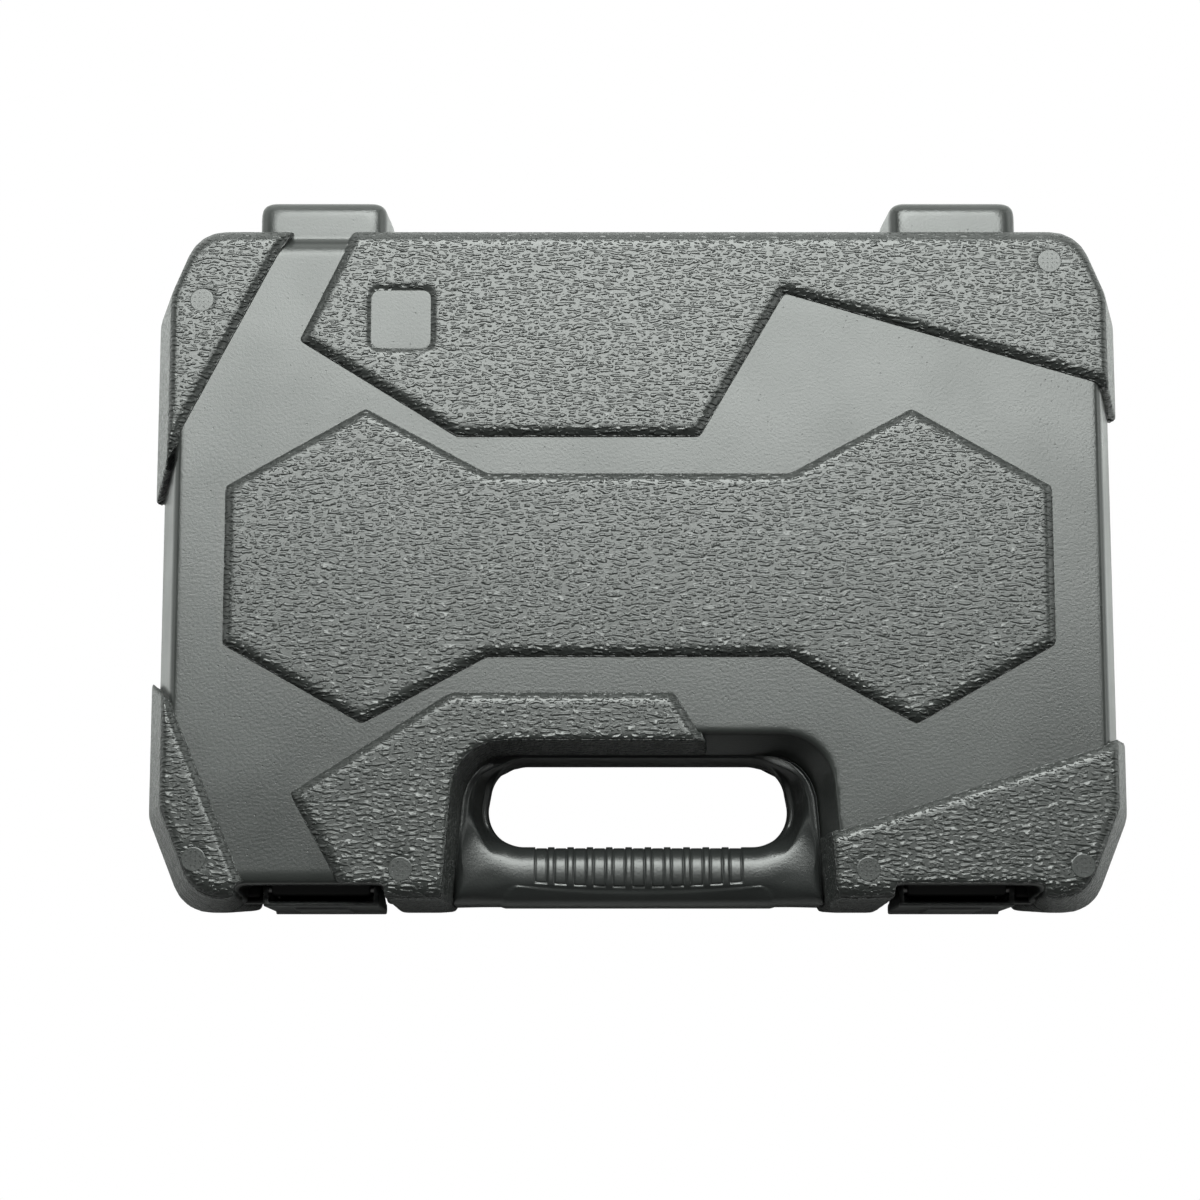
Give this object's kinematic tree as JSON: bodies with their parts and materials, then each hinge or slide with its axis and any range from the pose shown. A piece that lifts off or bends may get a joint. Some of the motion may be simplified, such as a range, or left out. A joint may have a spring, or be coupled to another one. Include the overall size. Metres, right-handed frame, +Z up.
{
  "type": "hard tool case",
  "caption": "Blow-moulded plastic tool case with a lid on rear hinge lugs, front snap latches, a moulded handle, grained armour panels and storage wells inside.",
  "frame": {"origin": "centre of the underside of the closed case", "axes": "+X to the right along the longest side, +Y from the handle to the hinges, +Z up through the lid"},
  "size_m": [0.353, 0.254, 0.09],
  "materials": {
    "skin": "smooth, finely blasted dark grey polyethylene",
    "grain": "coarse leathery grain, dark grey polyethylene",
    "liner": "smooth dark grey polyethylene",
    "handle": "smooth black, satin gloss",
    "latch": "injection-moulded black, glossy",
    "pin_steel": "drawn steel wire"
  },
  "bodies": {
    "base": {"base_shell": "skin", "base_liner": "liner", "base_handle": "handle", "base_panel_centre": "grain", "base_panel_rear": "grain", "base_panel_rear_corner": "grain", "base_panel_front_corner": "grain", "base_panel_handle": "grain", "base_panel_latch": "grain", "hinge_pin_left": "pin_steel", "hinge_pin_right": "pin_steel"},
    "lid": {"lid_shell": "skin", "lid_liner": "liner", "lid_handle": "handle", "lid_panel_centre": "grain", "lid_panel_rear": "grain", "lid_panel_rear_corner": "grain", "lid_panel_front_corner": "grain", "lid_panel_handle": "grain", "lid_panel_latch": "grain", "latch_pin_left": "pin_steel", "latch_pin_right": "pin_steel"},
    "latch_left": {"latch_left": "latch"},
    "latch_right": {"latch_right": "latch"}
  },
  "joints": [
    {"name": "lid_hinge", "type": "hinge", "parent": "base", "child": "lid", "pos_m": [0, 0.1217, 0.045], "axis": [-1, 0, 0], "range_deg": [0, 98]},
    {"name": "latch_left_pivot", "type": "hinge", "parent": "lid", "child": "latch_left", "pos_m": [-0.1115, -0.1199, 0.067], "axis": [-1, 0, 0], "range_deg": [0, 100]},
    {"name": "latch_right_pivot", "type": "hinge", "parent": "lid", "child": "latch_right", "pos_m": [0.1115, -0.1199, 0.067], "axis": [-1, 0, 0], "range_deg": [0, 100]}
  ]
}
